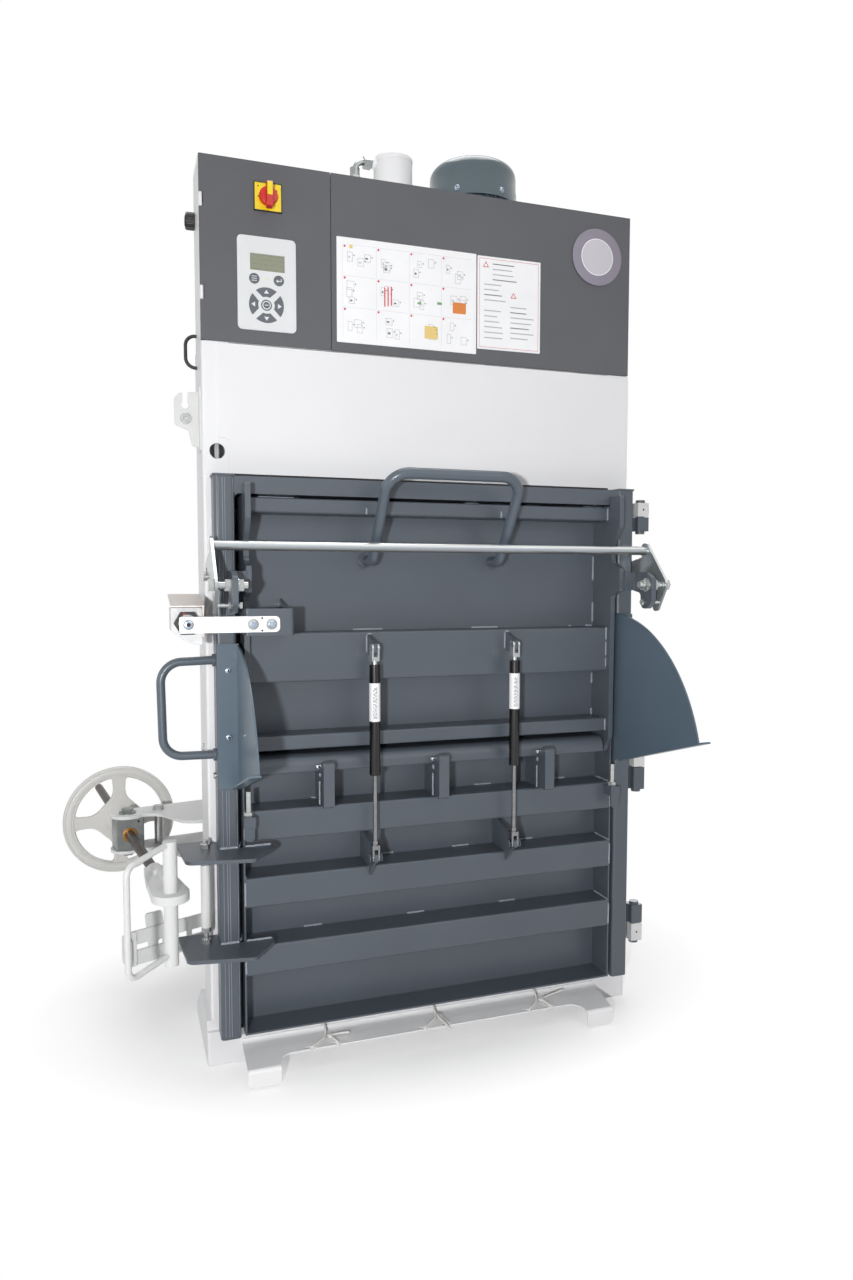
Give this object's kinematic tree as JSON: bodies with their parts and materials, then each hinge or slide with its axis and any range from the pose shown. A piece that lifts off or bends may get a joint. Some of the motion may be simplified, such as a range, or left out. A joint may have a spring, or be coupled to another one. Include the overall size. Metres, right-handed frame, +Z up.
{
  "type": "recycling baler",
  "caption": "Vertical press that bales waste cardboard, with a spring-balanced filling flap in its bale door, a swinging screw lock, a control cabinet and a hydraulic cylinder on top.",
  "frame": {"origin": "middle of the press body's footprint on the floor", "axes": "+Z up, -Y to the front (the bale door), +X to the operator's right"},
  "size_m": [1.4623, 1.4044, 2.309],
  "materials": {
    "grey_paint": "satin powder coat, mid grey",
    "dark_paint": "satin powder coat, dark grey",
    "white_paint": "satin powder coat, white",
    "zinc": "bright zinc plating",
    "steel": "bare machined steel",
    "aluminium": "satin",
    "black_plastic": "matt moulded plastic",
    "blue_grey_paint": "gloss enamel, blue-grey",
    "keypad_foil": "printed foil",
    "yellow_plastic": "satin moulded plastic",
    "red_plastic": "satin moulded plastic",
    "black_paint": "gloss black",
    "cord": "twisted polyester"
  },
  "bodies": {
    "press_frame": {"base_frame": "white_paint", "chamber_floor": "grey_paint", "front_columns": "white_paint", "side_walls": "white_paint", "rear_wall": "white_paint", "crosshead": "white_paint", "front_panel": "white_paint", "control_cabinet": "white_paint", "control_gear": "black_plastic", "right_cover": "dark_paint", "cylinder_barrel": "white_paint", "pressure_pipe": "zinc", "oil_tank": "dark_paint", "pump_motor": "blue_grey_paint", "fan_cover": "blue_grey_paint", "side_connector": "black_plastic", "side_hook": "white_paint", "lock_arms": "white_paint", "rest_bracket": "white_paint", "strap_plate": "white_paint", "hinge_leaves_frame": "white_paint", "safety_switch": "aluminium", "switch_guard": "grey_paint", "frame_fasteners": "zinc", "strap_end_left": "cord", "strap_end_middle": "cord", "strap_end_right": "cord"},
    "cabinet_door": {"cabinet_door": "dark_paint", "keypad": "keypad_foil", "switch_plate": "yellow_plastic"},
    "main_switch": {"switch_knob": "red_plastic"},
    "fan": {"motor_fan": "black_plastic"},
    "platen": {"press_platen": "grey_paint", "piston_rod": "steel"},
    "main_door": {"door_frame": "grey_paint", "door_skin": "grey_paint", "door_beams": "grey_paint", "lock_lugs": "grey_paint", "grip_handle": "grey_paint", "side_cheeks": "grey_paint", "strap_claws": "grey_paint", "spring_brackets_door": "grey_paint", "hinge_leaves_door": "grey_paint", "door_fasteners": "zinc"},
    "flap": {"flap_panel": "grey_paint", "flap_side_plates": "grey_paint", "flap_handle": "grey_paint", "flap_brackets": "grey_paint", "actuator_bar": "aluminium", "flap_fasteners": "zinc"},
    "bail": {"latch_bail": "zinc"},
    "tube_left": {"spring_tube_left": "black_paint"},
    "tube_right": {"spring_tube_right": "black_paint"},
    "rod_left": {"spring_rod_left": "steel"},
    "rod_right": {"spring_rod_right": "steel"},
    "lock_block": {"swivel_block": "steel"},
    "lock_wheel": {"handwheel": "white_paint"},
    "lock_screw": {"lock_spindle": "steel", "pull_handle": "white_paint"}
  },
  "joints": [
    {"name": "cabinet_door_hinge", "type": "hinge", "parent": "press_frame", "child": "cabinet_door", "pos_m": [-0.536, -0.326, 1.851], "axis": [0, 0, -1], "range_deg": [0, 110]},
    {"name": "main_switch_turn", "type": "hinge", "parent": "cabinet_door", "child": "main_switch", "pos_m": [-0.3895, -0.34, 1.97438], "axis": [0, 1, 0], "range_deg": [0, 90]},
    {"name": "fan_spin", "type": "hinge", "parent": "press_frame", "child": "fan", "pos_m": [0.235, -0.005, 2.24], "axis": [0, 0, 1], "continuous": true},
    {"name": "platen_stroke", "type": "slide", "parent": "press_frame", "child": "platen", "axis": [0, 0, -1], "range_m": [0, 0.7]},
    {"name": "main_door_hinge", "type": "hinge", "parent": "press_frame", "child": "main_door", "pos_m": [0.568, -0.355, 0.7], "axis": [0, 0, 1], "range_deg": [0, 115]},
    {"name": "flap_hinge", "type": "hinge", "parent": "main_door", "child": "flap", "pos_m": [0, -0.365, 0.7], "axis": [1, 0, 0], "range_deg": [0, 50], "stiffness_Nm_per_rad": 150, "springref_deg": -17.19},
    {"name": "bail_pivot", "type": "hinge", "parent": "flap", "child": "bail", "pos_m": [0, -0.51, 1.112], "axis": [1, 0, 0], "range_deg": [0, 60]},
    {"name": "spring_tube_pivot_left", "type": "hinge", "parent": "flap", "child": "tube_left", "pos_m": [-0.175, -0.436, 0.968], "axis": [1, 0, 0], "range_deg": [-22.5, 0.5]},
    {"name": "spring_rod_pivot_left", "type": "hinge", "parent": "main_door", "child": "rod_left", "pos_m": [-0.175, -0.436, 0.483], "axis": [1, 0, 0], "range_deg": [-0.5, 28.6]},
    {"name": "spring_tube_pivot_right", "type": "hinge", "parent": "flap", "child": "tube_right", "pos_m": [0.175, -0.436, 0.968], "axis": [1, 0, 0], "range_deg": [-22.5, 0.5]},
    {"name": "spring_rod_pivot_right", "type": "hinge", "parent": "main_door", "child": "rod_right", "pos_m": [0.175, -0.436, 0.483], "axis": [1, 0, 0], "range_deg": [-0.5, 28.6]},
    {"name": "lock_swivel", "type": "hinge", "parent": "press_frame", "child": "lock_block", "pos_m": [-0.711, 0.082, 0.455], "axis": [0, 0, -1], "range_deg": [0, 20]},
    {"name": "lock_wheel_turn", "type": "hinge", "parent": "lock_block", "child": "lock_wheel", "pos_m": [-0.711, 0.082, 0.455], "axis": [-0.1433, 0.9897, 0], "range_deg": [-2880, 2880]},
    {"name": "lock_screw_travel", "type": "slide", "parent": "lock_block", "child": "lock_screw", "axis": [-0.1433, 0.9897, 0], "range_m": [-0.0405, 0.0405]}
  ],
  "couplings": [
    {"joint": "spring_tube_pivot_left", "follows": "flap_hinge", "ratio": -0.4378},
    {"joint": "spring_rod_pivot_left", "follows": "flap_hinge", "ratio": 0.5622},
    {"joint": "spring_tube_pivot_right", "follows": "flap_hinge", "ratio": -0.4378},
    {"joint": "spring_rod_pivot_right", "follows": "flap_hinge", "ratio": 0.5622},
    {"joint": "lock_screw_travel", "follows": "lock_wheel_turn", "m_per_rad": 0.00079577}
  ]
}
